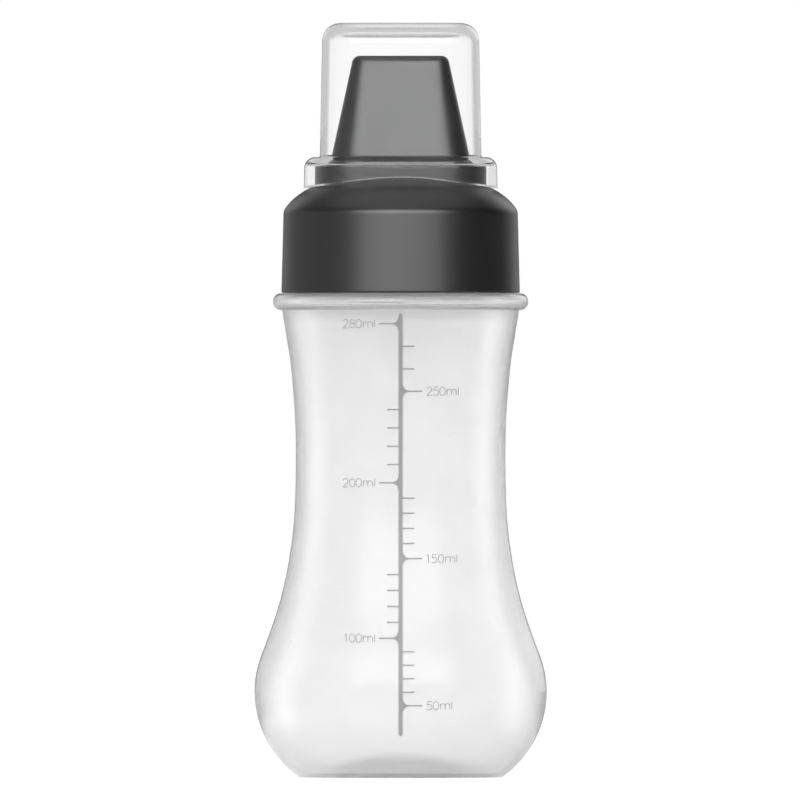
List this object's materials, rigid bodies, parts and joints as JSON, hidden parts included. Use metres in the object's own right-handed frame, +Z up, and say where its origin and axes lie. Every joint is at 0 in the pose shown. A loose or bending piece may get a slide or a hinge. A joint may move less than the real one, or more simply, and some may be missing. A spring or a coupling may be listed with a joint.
{
  "type": "sauce squeeze bottle",
  "caption": "Waisted squeeze bottle with a volume scale, a screw cap with a flat row nozzle, and a clear lift-off cover.",
  "frame": {"origin": "centre of the base, on the surface the bottle stands on", "axes": "+Z up along the bottle's axis; +X along the long side of the nozzle and cover; -Y is the side with the printed scale"},
  "size_m": [0.0718, 0.0718, 0.1849],
  "materials": {
    "bottle_plastic": "translucent natural low-density polyethylene, satin and soft",
    "seal_silicone": "translucent white silicone rubber",
    "cap_plastic": "dark grey polypropylene with a fine satin grain",
    "nozzle_plastic": "dark grey polypropylene with a fine satin grain",
    "cover_plastic": "clear polished polystyrene",
    "scale_ink": "grey screen-printed ink"
  },
  "bodies": {
    "bottle": {"bottle_body": "bottle_plastic"},
    "seal": {"sealing_ring": "seal_silicone"},
    "cap": {"screw_cap": "cap_plastic", "nozzle": "nozzle_plastic"},
    "cover": {"dust_cover": "cover_plastic"}
  },
  "joints": [
    {"name": "cap_rise", "type": "slide", "parent": "bottle", "child": "seal", "axis": [0, 0, 1], "range_m": [0, 0.01906]},
    {"name": "cap_turn", "type": "hinge", "parent": "seal", "child": "cap", "pos_m": [0, 0, 0.13], "axis": [0, 0, 1], "range_deg": [0, 540]},
    {"name": "cover_lift", "type": "slide", "parent": "cap", "child": "cover", "axis": [0, 0, 1], "range_m": [0, 0.036]}
  ],
  "couplings": [
    {"joint": "cap_rise", "follows": "cap_turn", "m_per_rad": 0.0020213}
  ]
}
